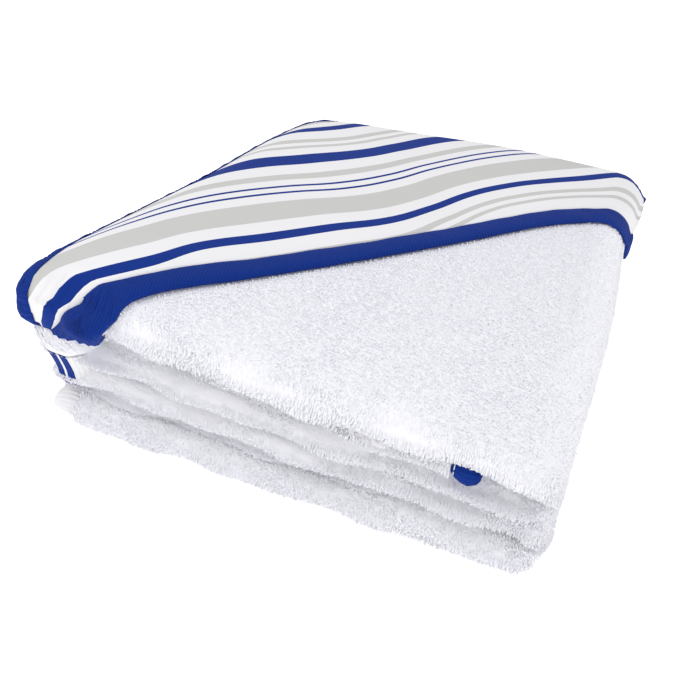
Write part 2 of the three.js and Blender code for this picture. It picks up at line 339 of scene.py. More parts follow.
@dataclass(frozen=True)
class Settling:
    """Settles the plain stack under its own weight and the folder's hands.

    Levels, the corners' heights, the crown, the edge's drop and the recesses are in millimetres.

    Attributes:
        left: The stack's left side.
        front: The stack's front.
        floor: The height it lies on.
        plain_levels: Levels of the plain stack.
        soft_levels: What they become over the stack's left part.
        right_levels: What they become over its right part.
        corner_heights: The top's heights at the near left, near right, far right and far left corner.
        crown: How much higher the top's middle is.
        edge_drop: How much its rim drops.
        edge_power: How close to the edge it does.
        skew: How far the middles of the left and right side lie forwards or back.
        level_centres: Levels of the front's layers and of the creases between them.
        recesses: How far back each of those lies.
        recess_fade: The share of it that is lost towards the right.
        waves: The top's waves: size, turns across, turns in depth and start.
        wave: The waves' height.
        wiggles: The front's waves: size, turns across, turns in height and start.
        bulge: How much the sides swell.
    """

    left: float
    front: float
    floor: float
    plain_levels: tuple[float, ...] = (0, 8.0, 14.2, 22.4, 23.4, 31.6, 42.8, 51.0, 52.0, 60.2, 66.4, 74.4)
    soft_levels: tuple[float, ...] = (0, 17.0, 18.5, 23.5, 24.0, 37.0, 38.5, 51.0, 52.0, 61.5, 63.0, 79.0)
    right_levels: tuple[float, ...] = (0, 24.0, 25.0, 28.0, 29.0, 42.0, 44.0, 57.0, 58.5, 70.0, 71.5, 79.0)
    corner_heights: tuple[float, float, float, float] = (84, 57, 77, 80)
    crown: float = 8.0
    edge_drop: float = 7.0
    edge_power: float = 14.0
    skew: tuple[float, float] = (-22 * MM, 24 * MM)
    level_centres: tuple[float, ...] = (0, 8, 22, 26, 31, 38, 45, 57, 62, 72)
    recesses: tuple[float, ...] = (1, 1, 8, 8, 1, 8, 1, 10, -1, -3)
    recess_fade: float = 0.45
    waves: tuple[tuple[float, float, float, float], ...] = (
        (1.0, 7.1, 3.3, 0.6), (0.8, 4.2, -8.6, 2.1), (0.6, 13.7, 9.1, 4.0), (0.4, -11.9, 17.3, 1.2),
    )
    wave: float = 0.55 * MM
    wiggles: tuple[tuple[float, float, float, float], ...] = (
        (1.2 * MM, 23, 0.35, 0), (0.8 * MM, 41, -0.22, 2),
    )
    bulge: float = 1.5 * MM

    def top(self, a: Array, b: Array) -> Array:
        """Gives the height of the terry's top.

        Args:
            a: Places from the left, 0, to the right, 1.
            b: Places from the front, 0, to the back, 1.

        Returns:
            The heights in millimetres.
        """
        near_left, near_right, far_right, far_left = self.corner_heights
        plane = (near_left * (1 - a) + near_right * a) * (1 - b)
        plane = plane + (far_left * (1 - a) + far_right * a) * b
        p, q = np.abs(2 * a - 1), np.abs(2 * b - 1)
        flat = np.maximum(1 - p ** self.edge_power, 0) * np.maximum(1 - q ** self.edge_power, 0)
        rounding = 1 - np.sqrt(flat)
        return plane + self.crown * (1 - p ** 4) * (1 - q ** 4) - self.edge_drop * rounding

    def apply(self, points: Array) -> Array:
        """Settles points of the plain stack.

        Args:
            points: Rows of x, y and z in the row frame.

        Returns:
            The settled rows.
        """
        x, y, z = points[:, 0], points[:, 1], (points[:, 2] - self.floor) / MM
        a = np.clip((x - self.left) / PATTERN.stack_width, 0, 1)
        b = np.clip((y - self.front) / PATTERN.stack_depth, 0, 1)
        full = self.soft_levels[-1]
        at_right = smooth(a, 0.55, 0.8)
        soft = np.interp(z, self.plain_levels, self.soft_levels) * (1 - at_right)
        soft = soft + np.interp(z, self.plain_levels, self.right_levels) * at_right
        soft = soft + np.maximum(z - self.plain_levels[-1], 0)
        share = np.minimum(soft / full, 1)
        height = self.top(a, b) * share + np.maximum(soft - full, 0)
        ripples = sum(size * np.sin(p * a + q * b + start) for size, p, q, start in self.waves)
        height = height * MM + self.wave * ripples * share ** 1.5
        recess = np.interp(soft, self.level_centres, self.recesses) * MM
        wiggle = sum(size * np.sin(p * a + q * soft + start) for size, p, q, start in self.wiggles)
        depth = y + (recess * (1 - self.recess_fade * a ** 3) + wiggle) * (1 - b) ** 5
        depth = depth + (self.skew[0] * (1 - a) + self.skew[1] * a) * np.sin(np.pi * b)
        bulge = self.bulge * np.sin(9 * b + 0.16 * soft)
        wide = x + bulge * (2 * a - 1) ** 5
        return np.stack([wide, depth, self.floor + height], axis=1)


@dataclass(frozen=True)
class Flap:
    """The edge of the sheet under the top one, which hangs down round the stack's front left corner.

    Attributes:
        left: The stack's left side.
        front: The stack's front.
        turn_over: How far in from the edge the cloth starts to turn down.
        hang: How much of it hangs.
        ahead: How far from the left side its front end is.
        corner: The radius of its way round the corner.
        end: Where its far end joins the stack again.
        tuck: How far its front end is pushed back into the fold.
        belly: How much it swells halfway down.
        pull: How far its rim is drawn in.
    """

    left: float
    front: float
    turn_over: float = 50 * MM
    hang: float = 38 * MM
    ahead: float = 30 * MM
    corner: float = 12 * MM
    end: float = 250 * MM
    tuck: float = 14 * MM
    belly: float = 3 * MM
    pull: float = 2 * MM

    def path(self, s: Array) -> tuple[Array, Array, Array]:
        """Gives the line that the hanging edge follows in plan.

        Args:
            s: Distances along the edge from the front fold.

        Returns:
            The places x and y, and the angle from facing forwards to facing left.
        """
        straight = self.ahead - self.corner
        arc = math.pi / 2 * self.corner
        angle = np.clip((s - straight) / self.corner, 0, math.pi / 2)
        across = np.minimum(s, straight)
        past = np.maximum(s - straight - arc, 0)
        stretch = (self.end - self.corner) / (self.end - straight - arc)
        x = self.left + self.ahead - across - self.corner * np.sin(angle)
        y = self.front + self.corner * (1 - np.cos(angle)) + past * stretch
        tucked = 1 - smooth(s, -2 * MM, 12 * MM)
        return x, y + self.tuck * tucked, angle

    def apply(self, points: Array, placed: Array) -> Array:
        """Moves the points of the hanging edge.

        Args:
            points: Rows of u, v and w.
            placed: Where they lie otherwise.

        Returns:
            Where they lie.
        """
        inwards = PATTERN.width - points[:, 0]
        s = points[:, 1] - PATTERN.v_middle
        share = (1 - smooth(inwards, self.hang, self.turn_over)) * smooth(s, -7 * MM, 1 * MM)
        share = share * (1 - smooth(s, self.end - 70 * MM, self.end))
        x, y, angle = self.path(s)
        drop = self.hang - inwards
        drop = np.where(drop > 0, drop, 0) * (1 + 0.05 * np.sin(s * 60))
        belly = self.belly * np.sin(np.clip(drop / self.hang, 0, 1) * math.pi)
        out = belly - points[:, 2] - self.pull * smooth(drop, 24 * MM, self.hang)
        hung = np.stack([
            x - np.sin(angle) * out, y - np.cos(angle) * out, placed[:, 2] - drop,
        ], axis=1)
        return placed + share[:, None] * (hung - placed)


class Stack:
    """The folded and settled towel: puts points of the flat pattern where they lie."""

    def __init__(self) -> None:
        """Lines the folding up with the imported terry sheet."""
        self.folding = Folding()
        low, _high = (np.array(corner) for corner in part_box("terry_body"))
        self.shift = low - self._plain_low()
        floor = float(low[2])
        self.settling = Settling(left=float(low[0]), front=float(low[1]), floor=floor)
        self.flap = Flap(left=float(low[0]), front=float(low[1]))

    @staticmethod
    def _plain_low() -> Array:
        """Gives the lowest corner of the plain folded sheet.

        Returns:
            The corner's x, y and z in the folding's own frame.
        """
        cut = PATTERN
        gap = cut.sheet_gap / 2
        left = -(cut.pair_pitch - gap)
        front = -(cut.reach - cut.back_fold / 2) - cut.pitch / 2 - cut.sheet / 2
        under = -(cut.packet - gap + cut.packet_gap / 2)
        return np.array([left, front, under])

    def place(self, points: Array) -> Array:
        """Folds and settles points.

        Args:
            points: Rows of u, v and w.

        Returns:
            Rows of x, y and z in the row frame.
        """
        settled = self.settling.apply(self.folding.apply(points) + self.shift)
        return self.flap.apply(points, settled)


# ---------- meshes ----------
class PatternMesh:
    """Gathers points of the flat pattern and faces, and makes one folded object of them."""

    def __init__(self, name: str, smooth_shaded: bool = True) -> None:
        """Starts an empty mesh.

        Args:
            name: The object's name.
            smooth_shaded: Whether its faces shade into each other.
        """
        self.name = name
        self.smooth_shaded = smooth_shaded
        self.points: list[Array] = []
        self.places: list[Array] = []
        self.faces: list[Array] = []
        self.count = 0

    def add(self, points: Array, *blocks: Array, places: Array | None = None) -> None:
        """Adds points with the faces that join them.

        Args:
            points: Rows of u, v and w.
            blocks: Rows of corner numbers, counted within these points.
            places: Rows of places for the map, or None for u and v.
        """
        self.points.append(points)
        self.places.append(points[:, :2] if places is None else places)
        self.faces.extend(np.asarray(faces) + self.count for faces in blocks)
        self.count += len(points)

    def add_strip(self, grid: Array, distances: Array) -> None:
        """Adds a closed strip, mapped by the distance along it.

        Args:
            grid: Points by row and column, each row a closed loop.
            distances: The rows' distances along the strip.
        """
        rows, columns = grid.shape[:2]
        index = np.arange(rows * columns).reshape(rows, columns)
        right = np.roll(index, -1, axis=1)
        faces = np.stack([index[:-1], right[:-1], right[1:], index[1:]], axis=-1).reshape(-1, 4)
        ends = np.stack([index[0, ::-1], index[-1]])
        along = np.broadcast_to(distances[:, None], (rows, columns))
        places = np.stack([along, grid[..., 2]], axis=-1).reshape(-1, 2)
        self.add(grid.reshape(-1, 3), faces, ends, places=places)

    def add_slab(self, top: Array, bottom: Array) -> None:
        """Adds a closed slab between two grids of points.

        Args:
            top: The upper points by row and column.
            bottom: The lower points, shaped alike.
        """
        rows, columns = top.shape[:2]
        upper = np.arange(rows * columns).reshape(rows, columns)
        lower = upper + rows * columns
        corners = [upper[:-1, :-1], upper[:-1, 1:], upper[1:, 1:], upper[1:, :-1]]
        over = np.stack(corners, axis=-1).reshape(-1, 4)
        rim = np.concatenate([upper[0], upper[1:, -1], upper[-1, -2::-1], upper[-2:0:-1, 0]])
        after = np.roll(rim, -1)
        below = rows * columns
        sides = np.stack([after, rim, rim + below, after + below], axis=1)
        points = np.concatenate([top.reshape(-1, 3), bottom.reshape(-1, 3)])
        self.add(points, np.concatenate([over, over[:, ::-1] + lower[0, 0], sides]))

    def build(self, stack: Stack) -> bpy.types.Object:
        """Makes the folded object, with its places in the flat pattern kept as a map.

        Args:
            stack: The towel that the piece belongs to.

        Returns:
            The object, linked to the scene.
        """
        points = np.concatenate(self.points)
        faces = [face for block in self.faces for face in block.tolist()]
        mesh = bpy.data.meshes.new(self.name)
        mesh.from_pydata(stack.place(points).tolist(), [], faces)
        mesh.polygons.foreach_set("use_smooth", np.full(len(mesh.polygons), self.smooth_shaded))
        corners = np.empty(len(mesh.loops), np.int32)
        mesh.loops.foreach_get("vertex_index", corners)
        layer = mesh.uv_layers.new(name="Pattern")
        places = np.concatenate(self.places)
        layer.data.foreach_set("uv", places[corners].astype(np.float32).ravel())
        mesh.update()
        made = bpy.data.objects.new(self.name, mesh)
        bpy.context.scene.collection.objects.link(made)
        return made


def steps(*stretches: tuple[float, float, float]) -> Array:
    """Gives rising places with a chosen spacing in each stretch.

    Args:
        stretches: The start, the end and the wanted spacing of each.

    Returns:
        The places, each once.
    """
    parts = []
    for start, end, spacing in stretches:
        count = max(1, round((end - start) / spacing))
        parts.append(np.linspace(start, end, count + 1))
    joined = np.concatenate(parts)
    return joined[np.concatenate([[True], np.diff(joined) > 1e-7])]


def pattern_lines(coarse: float) -> tuple[Array, Array]:
    """Gives the pattern's cutting lines: fine on the top panel and in the folds.

    Args:
        coarse: Spacing where the cloth lies hidden.

    Returns:
        The places along u and along v.
    """
    cut = PATTERN
    fine = 4 * MM
    flap_front = 60 * MM
    flap_side = 56 * MM
    edge = cut.binding_width + 1.5 * MM
    rim = [(0, 0.9 * MM, 0.9 * MM), (0.9 * MM, edge, 2.6 * MM)]

    def far_rim(size: float) -> list[tuple[float, float, float]]:
        """Mirrors the rim's stretches to the far side of a size."""
        return [(size - high, size - low, step) for low, high, step in reversed(rim)]

    u = steps(
        *rim, (edge, cut.u_left_fold, coarse), (cut.u_left_fold, cut.u_middle, 1.2 * MM),
        (cut.u_middle, cut.u_right_fold, coarse), (cut.u_right_fold, cut.u_last, 2.2 * MM),
        (cut.u_last, cut.width - flap_side, fine), (cut.width - flap_side, cut.width - edge, 2 * MM),
        *far_rim(cut.width),
    )
    back = cut.v_middle + cut.reach - cut.back_fold / 2
    v = steps(
        *rim, (edge, cut.end_panel, fine), (cut.end_panel, cut.v_middle, 1.3 * MM),
        (cut.v_middle, cut.v_middle + flap_front, 2 * MM), (cut.v_middle + flap_front, back, coarse),
        (back, back + cut.back_fold, 3 * MM),
        (back + cut.back_fold, cut.v_far_fold, coarse), (cut.v_far_fold, cut.v_last, 1.3 * MM),
        (cut.v_last, cut.length - edge, coarse), *far_rim(cut.length),
    )
    return u, v


def round_corners(u: Array, v: Array) -> tuple[Array, Array]:
    """Draws the square pattern in to its rounded corners.

    Args:
        u: Places along the width.
        v: Places along the length.

    Returns:
        The moved places.
    """
    cut, radius = PATTERN, PATTERN.corner_radius

    def offset(place: Array, size: float) -> tuple[Array, Array]:
        """Gives the nearest arc centre and the share of the radius beyond it."""
        centre = np.clip(place, radius, size - radius)
        return centre, (place - centre) / radius

    centre_u, p = offset(u, cut.width)
    centre_v, q = offset(v, cut.length)
    return (
        centre_u + radius * p * np.sqrt(1 - q * q / 2),
        centre_v + radius * q * np.sqrt(1 - p * p / 2),
    )


class Outline:
    """The towel's rounded outline, measured from where its left edge leaves the hood's corner."""

    def __init__(self) -> None:
        """Works out the outline's stretches."""
        cut, radius = PATTERN, PATTERN.corner_radius
        self.side = cut.length - 2 * radius
        self.end = cut.width - 2 * radius
        self.arc = math.pi / 2 * radius
        self.total = 2 * (self.side + self.end) + 4 * self.arc

    @property
    def hood_start(self) -> float:
        """Where the hood's leg along the stack's back starts."""
        return self.total - self.arc - (PATTERN.hood_leg - PATTERN.corner_radius)

    @property
    def hood_end(self) -> float:
        """Where the hood's leg along the stack's left side ends."""
        return PATTERN.hood_leg - PATTERN.corner_radius

    def at(self, distance: Array) -> tuple[Array, Array, Array, Array]:
        """Finds places on the outline.

        Args:
            distance: Distances along the outline.

        Returns:
            The places u and v, and the two parts of the direction inwards.
        """
        cut, radius = PATTERN, PATTERN.corner_radius
        s = np.mod(distance, self.total)
        centres = [
            (cut.width - radius, cut.length - radius), (radius, cut.length - radius),
            (radius, radius), (cut.width - radius, radius),
        ]
        lengths = [self.side, self.end, self.side, self.end]
        u, v, angle = np.zeros_like(s), np.zeros_like(s), np.zeros_like(s)
        start = 0.0
        for corner, ((centre_u, centre_v), length) in enumerate(zip(centres, lengths)):
            out = corner * math.pi / 2
            before = (s >= start) & (s < start + length)
            back = start + length - s
            u = np.where(before, centre_u + radius * math.cos(out) + back * math.sin(out), u)
            v = np.where(before, centre_v + radius * math.sin(out) - back * math.cos(out), v)
            angle = np.where(before, out, angle)
            start += length
            turning = (s >= start) & (s < start + self.arc)
            here = out + (s - start) / radius
            u = np.where(turning, centre_u + radius * np.cos(here), u)
            v = np.where(turning, centre_v + radius * np.sin(here), v)
            angle = np.where(turning, here, angle)
            start += self.arc
        return u, v, -np.cos(angle), -np.sin(angle)

    def sweep(self, distances: Array, insets: Array, heights: Array) -> Array:
        """Sweeps a section along the outline.

        Args:
            distances: Distances along the outline, one for each row.
            insets: The section's distances inwards, by row and column or one row for all.
            heights: The section's heights out of the sheet, shaped alike.

        Returns:
            Points of the pattern by row and column.
        """
        u, v, in_u, in_v = (part[:, None] for part in self.at(distances))
        insets = np.broadcast_to(insets, (len(distances), insets.shape[-1]))
        heights = np.broadcast_to(heights, insets.shape)
        return np.stack([u + in_u * insets, v + in_v * insets, heights], axis=-1)


OUTLINE = Outline()


# ---------- finishes ----------
class Weave(Enum):
    """How a cloth's surface is made."""

    TERRY = "terry"
    JERSEY = "jersey"
    RIB = "rib"
    THREAD = "thread"


@dataclass(frozen=True)
class Stripe:
    """One of a fabric's stripes: where it ends, in millimetres across them, and its colour."""

    end: float
    colour: tuple[float, float, float]


@dataclass(frozen=True)
class Finish:
    """The look of one of the towel's fabrics.

    Attributes:
        name: The material's name.
        colour: The base colour, linear.
        weave: How its surface is made.
        roughness: How matt it is.
        sheen: How much its fibres catch the light at grazing angles.
        stripes: The stripes knitted into it.
        on_edge: Whether they run across a strip on the towel's edge.
    """

    name: str
    colour: tuple[float, float, float]
    weave: Weave
    roughness: float = 0.9
    sheen: float = 0.15
    stripes: Sequence[Stripe] = ()
    on_edge: bool = False


WHITE = (0.86, 0.855, 0.88)
GREY = (0.60, 0.60, 0.59)
BLUE = (0.003, 0.030, 0.245)

FIRST_STRIPE = -80.0
STRIPES = (
    Stripe(-29.5, WHITE), Stripe(-25.0, GREY), Stripe(-20.5, WHITE), Stripe(-16.5, GREY),
    Stripe(-5.5, WHITE), Stripe(1.6, BLUE), Stripe(12.0, WHITE), Stripe(32.4, GREY), Stripe(41.4, WHITE),
    Stripe(43.4, BLUE), Stripe(49.8, WHITE), Stripe(51.8, BLUE), Stripe(59.5, WHITE), Stripe(68.5, GREY),
    Stripe(83.6, WHITE), Stripe(100.0, BLUE), Stripe(111.2, WHITE), Stripe(116.7, GREY),
    Stripe(122.3, WHITE), Stripe(129.0, GREY), Stripe(147.4, WHITE), Stripe(159.5, BLUE),
    Stripe(174.0, WHITE), Stripe(190.0, GREY), Stripe(220.0, WHITE),
)
HEM_STRIPES = (
    Stripe(17, WHITE), Stripe(39, BLUE), Stripe(84, WHITE), Stripe(94, GREY), Stripe(111.6, WHITE),
    Stripe(115.7, BLUE), Stripe(117.3, WHITE), Stripe(121.9, BLUE), Stripe(123.4, WHITE), Stripe(129, GREY),
    Stripe(150, WHITE), Stripe(158, GREY), Stripe(180, WHITE),
)

TERRY = Finish("terry", (0.92, 0.92, 0.955), Weave.TERRY, roughness=1.0, sheen=0.2)
PILE = Finish("terry_pile", (0.92, 0.92, 0.965), Weave.THREAD, roughness=1.0, sheen=0.2)
LINING = Finish("hood_terry", (0.90, 0.90, 0.93), Weave.TERRY, roughness=1.0)
JERSEY = Finish("hood_jersey", WHITE, Weave.JERSEY, sheen=0.03, stripes=STRIPES)
BLUE_RIB = Finish("blue_binding", BLUE, Weave.RIB, sheen=0.03)
STRIPED_RIB = Finish("striped_binding", WHITE, Weave.RIB, sheen=0.03, stripes=HEM_STRIPES, on_edge=True)
BLUE_THREAD = Finish("blue_thread", (0.006, 0.032, 0.25), Weave.THREAD)
WHITE_THREAD = Finish("white_thread", (0.80, 0.80, 0.82), Weave.THREAD)


@dataclass(frozen=True)
class Drift:
    """Where one line of the hood's fabric runs, because the knit lies a little off the straight.

    Attributes:
        line: The line's own distance across the stripes, in millimetres.
        behind: Its distances behind the hood's front edge, in millimetres, at DRIFT_PLACES.
    """

    line: float
    behind: tuple[float, ...]


# Places along the hood's front edge, in millimetres.
DRIFT_PLACES = (20, 60, 90, 120, 150, 180, 210, 240, 270, 300, 340, 400)
NEAR_DRIFT = Drift(0, (-5.0, -2.9, 6.6, 9.6, 10.5, 10.3, 19.3, 29.9, 34.5, 37.8, 44.0, 62.5))
FAR_DRIFT = Drift(
    93, (58.0, 89.0, 106.3, 117.0, 119.0, 111.9, 109.1, 117.3, 127.2, 133.5, 142.9, 150.2)
)


class Shader:
    """Adds linked nodes to one material."""

    def __init__(self, name: str) -> None:
        """Makes the material with only its shader and its output.

        Args:
            name: The material's name.
        """
        self.material = bpy.data.materials.new(name)
        self.material.use_nodes = True
        self.tree = self.material.node_tree
        self.surface = self.tree.nodes["Principled BSDF"]

    def node(self, kind: str, **settings: object) -> bpy.types.Node:
        """Adds a node.

        Args:
            kind: The node's type.
            settings: Values for its properties.

        Returns:
            The node.
        """
        made = self.tree.nodes.new(kind)
        for key, value in settings.items():
            setattr(made, key, value)
        return made

    def link(self, source: bpy.types.NodeSocket, target: bpy.types.NodeSocket) -> None:
        """Links two sockets."""
        self.tree.links.new(source, target)

    def math(self, operation: str, *values: object) -> bpy.types.NodeSocket:
        """Adds a math node.

        Args:
            operation: What it does.
            values: Its inputs, numbers or sockets.

        Returns:
            Its result.
        """
        made = self.node("ShaderNodeMath", operation=operation)
        for slot, value in zip(made.inputs, values):
            if isinstance(value, (int, float)):
                slot.default_value = value
            else:
                self.link(value, slot)
        return made.outputs[0]

    def set_surface(self, settings: dict[str, object]) -> None:
        """Sets inputs of the shader, by their names."""
        for name, value in settings.items():
            self.surface.inputs[name].default_value = value

    def pattern_place(self) -> tuple[bpy.types.NodeSocket, bpy.types.NodeSocket]:
        """Gives the surface's place in the map.

        Returns:
            The places u and v, or for a strip the places along and across it.
        """
        place = self.node("ShaderNodeUVMap", uv_map="Pattern")
        parts = self.node("ShaderNodeSeparateXYZ")
        self.link(place.outputs["UV"], parts.inputs["Vector"])
        return parts.outputs["X"], parts.outputs["Y"]

    def grain(self, scale: float) -> bpy.types.NodeSocket:
        """Gives fine noise fixed to the object.

        Args:
            scale: The grains per metre.

        Returns:
            The noise.
        """
        coordinates = self.node("ShaderNodeTexCoord")
        noise = self.node("ShaderNodeTexNoise")
        noise.inputs["Scale"].default_value = scale
        self.link(coordinates.outputs["Object"], noise.inputs["Vector"])
        return noise.outputs["Fac"]

    def add_bump(self, height: bpy.types.NodeSocket, strength: float, depth: float) -> None:
        """Raises the surface.

        Args:
            height: How far each place is raised, as a share of the depth.
            strength: How strongly it shows.
            depth: How deep it is.
        """
        bump = self.node("ShaderNodeBump")
        bump.inputs["Strength"].default_value = strength
        bump.inputs["Distance"].default_value = depth
        self.link(height, bump.inputs["Height"])
        self.link(bump.outputs["Normal"], self.surface.inputs["Normal"])


class Wardrobe:
    """Makes each finish's material once."""

    def __init__(self) -> None:
        """Starts with no materials."""
        self.made: dict[str, bpy.types.Material] = {}

    def material(self, finish: Finish) -> bpy.types.Material:
        """Gives a finish's material.

        Args:
            finish: The finish.

        Returns:
            The material.
        """
        if finish.name not in self.made:
            self.made[finish.name] = self._make(finish)
        return self.made[finish.name]

    def _make(self, finish: Finish) -> bpy.types.Material:
        """Makes a finish's material.

        Args:
            finish: The finish.

        Returns:
            The material.
        """
        shader = Shader(finish.name)
        shader.set_surface({
            "Base Color": (*finish.colour, 1), "Roughness": finish.roughness,
            "Specular IOR Level": 0.15, "Sheen Weight": finish.sheen, "Sheen Roughness": 0.6,
        })
        if finish.stripes:
            self._add_stripes(shader, finish)
        self._add_weave(shader, finish.weave)
        return shader.material

    @staticmethod
    def _add_weave(shader: Shader, weave: Weave) -> None:
        """Gives a surface the relief of its cloth; thread is too fine for one.

        Args:
            shader: The material.
            weave: How the cloth is made.
        """
        if weave is Weave.TERRY:
            shader.add_bump(shader.grain(700), strength=0.3, depth=1.0 * MM)
        elif weave is Weave.JERSEY:
            shader.add_bump(shader.grain(1500), strength=0.25, depth=0.3 * MM)
        elif weave is Weave.RIB:
            rib_pitch = 1.5 * MM
            along, _across = shader.pattern_place()
            ribs = shader.math("SINE", shader.math("MULTIPLY", along, 2 * math.pi / rib_pitch))
            rough = shader.math("MULTIPLY", shader.grain(1300), 2.0)
            shader.add_bump(shader.math("ADD", ribs, rough), strength=0.6, depth=0.35 * MM)

    @staticmethod
    def _add_stripes(shader: Shader, finish: Finish) -> None:
        """Colours a surface with its fabric's stripes, by its place in the pattern.

        Args:
            shader: The material.
            finish: The fabric's finish.
        """
        first = 0.0 if finish.on_edge else FIRST_STRIPE
        span = finish.stripes[-1].end - first
        if finish.on_edge:
            along, _across = shader.pattern_place()
            share = shader.math("FRACT", shader.math("DIVIDE", along, span * MM))
        else:
            share = Wardrobe._hood_share(shader, first, span)
        ramp = shader.node("ShaderNodeValToRGB")
        ramp.color_ramp.interpolation = "CONSTANT"
        stops = ramp.color_ramp.elements
        stops[0].color = (*finish.stripes[0].colour, 1)
        stops.remove(stops[1])
        for before, stripe in zip(finish.stripes, finish.stripes[1:]):
            stop = stops.new((before.end - first) / span)
            stop.color = (*stripe.colour, 1)
        shader.link(share, ramp.inputs["Fac"])
        shader.link(ramp.outputs["Color"], shader.surface.inputs["Base Color"])

    @staticmethod
    def _hood_share(shader: Shader, first: float, span: float) -> bpy.types.NodeSocket:
        """Gives how far across the hood's stripes a place is.

        Args:
            shader: The material.
            first: Where the stripes start, in millimetres across them.
            span: How far they reach.

        Returns:
            The shares of the way across.
        """
        u, v = shader.pattern_place()
        cut, scale = PATTERN, 1 / MM / math.sqrt(2)
        difference, total = shader.math("SUBTRACT", u, v), shader.math("ADD", u, v)
        backwards = shader.math("ADD", difference, cut.hood_leg - cut.width)
        sideways = shader.math("SUBTRACT", cut.width + cut.hood_leg, total)
        behind = shader.math("MULTIPLY", backwards, scale)
        along = shader.math("MULTIPLY", sideways, scale)
        near = Wardrobe._drift(shader, along, NEAR_DRIFT)
        far = Wardrobe._drift(shader, along, FAR_DRIFT)
        past = shader.math("SUBTRACT", behind, near)
        gone = shader.math("DIVIDE", past, shader.math("SUBTRACT", far, near))
        low, high = NEAR_DRIFT.line - first, FAR_DRIFT.line - first
        return shader.math("MULTIPLY_ADD", gone, (high - low) / span, low / span)

    @staticmethod
    def _drift(shader: Shader, along: bpy.types.NodeSocket, drift: Drift) -> bpy.types.NodeSocket:
        """Gives how far behind the hood's front edge a line of its fabric runs.

        Args:
            shader: The material.
            along: Places along the front edge, in millimetres.
            drift: The line.

        Returns:
            The distances, in millimetres.
        """
        # What the curve's two axes, 0 to 1, stand for, in millimetres.
        full, lowest, spread = 450.0, -50.0, 250.0
        curve = shader.node("ShaderNodeFloatCurve")
        points = curve.mapping.curves[0].points
        places = [
            (place / full, (behind - lowest) / spread)
            for place, behind in zip(DRIFT_PLACES, drift.behind)
        ]
        for place in places[1:-1]:
            points.new(*place)
        points[0].location, points[-1].location = places[0], places[-1]
        curve.mapping.update()
        shader.link(shader.math("DIVIDE", along, full), curve.inputs["Value"])
        return shader.math("MULTIPLY_ADD", curve.outputs["Value"], spread, lowest)


# ---------- the towel's pieces ----------
class Piece:
    """One piece of the towel."""

    name = ""
    finish = TERRY
    nodes: tuple[str, ...] = ()

    def mesh(self) -> PatternMesh:
        """Gives the piece's mesh in the flat pattern."""
        raise NotImplementedError

    def material_slot(self) -> str:
        """Gives the slot of the CAD piece that this one replaces or covers."""
        covered = self.nodes[0] if self.nodes else "terry_body"
        return next(part["material_slot"] for part in frame["record"]["subparts"] if part["node"] == covered)

    def build(self, stack: Stack, wardrobe: Wardrobe) -> bpy.types.Object:
        """Makes the piece where it lies in the stack.

        Args:
            stack: The towel it belongs to.
            wardrobe: The materials.

        Returns:
            The object.
        """
        made = self.mesh().build(stack)
        made.data.materials.append(wardrobe.material(self.finish))
        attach(made, "root")
        if self.nodes:
            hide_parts(*self.nodes)
        LOG.info("%s: %d faces", self.name, len(made.data.polygons))
        return made


@dataclass
class TerryBody(Piece):
    """The towel's one sheet of terry, thin at the margin that its bindings hold.

    Attributes:
        coarse: The mesh's spacing where the cloth lies hidden.
        margin: The thickness at the margin.
        slope: How far the thickness takes to grow, to each side of the bindings' inner edge.
    """

    name: str = "terry_sheet"
    finish: Finish = TERRY
    nodes: tuple[str, ...] = ("terry_body",)
    coarse: float = 10 * MM
    margin: float = 1.2 * MM
    slope: float = 3 * MM

    def half_thickness(self, u: Array, v: Array) -> Array:
        """Gives half the sheet's thickness, which grows from the margin inwards.

        Args:
            u: Places along the width.
            v: Places along the length.

        Returns:
            Half the thickness at each place.
        """
        edge = PATTERN.edge_distance(u, v) - PATTERN.binding_width
        grown = smooth(edge, -self.slope, self.slope)
        return self.margin / 2 + (PATTERN.sheet - self.margin) / 2 * grown

    def mesh(self) -> PatternMesh:
        """Gives the sheet's mesh in the flat pattern.

        Returns:
            The mesh.
        """
        lines_u, lines_v = pattern_lines(self.coarse)
        u, v = np.meshgrid(lines_u, lines_v)
        u, v = round_corners(u, v)
        half = self.half_thickness(u, v)
        made = PatternMesh(self.name)
        made.add_slab(np.stack([u, v, half], axis=-1), np.stack([u, v, -half], axis=-1))
        return made


def half_ring(
    upper: float, width: float, low: float, high: float, wall: float, crown: float
) -> tuple[Array, Array]:
    """Gives the section of a strip turned over an edge.

    Args:
        upper: How far its upper side reaches in from the edge.
        width: How far its under side does.
        low: The height of its under face.
        high: The height of its upper face.
        wall: Its thickness.
        crown: How much it swells between its seam and the edge.

    Returns:
        The insets and the heights, round a closed loop.
    """
    middle, half = (high + low) / 2, (high - low) / 2
    across = np.array([1.0, 0.97, 0.8, 0.55, 0.3, 0.12, 0.0])
    swell = np.array([-0.6, 0.0, 0.6, 1.0, 0.9, 0.4, 0.0]) * crown
    turn = np.linspace(0.25, 0.75, 5) * math.pi
    nose_d, nose_w = -half * 0.8 * np.sin(turn), half * np.cos(turn)
    d = np.concatenate([across * upper, nose_d, across[::-1] * width])
    w = np.concatenate([half + swell, nose_w, -half - swell[::-1]])
    inner_d = np.array([1.0, 0.5, 0.1, 0.0, 0.1, 0.5, 1.0]) * np.repeat([width, upper], [3, 4])
    inner_w = np.array([-1, -1, -0.7, 0, 0.7, 1, 1]) * (half - wall)
    return np.concatenate([d, inner_d]), middle + np.concatenate([w, inner_w])


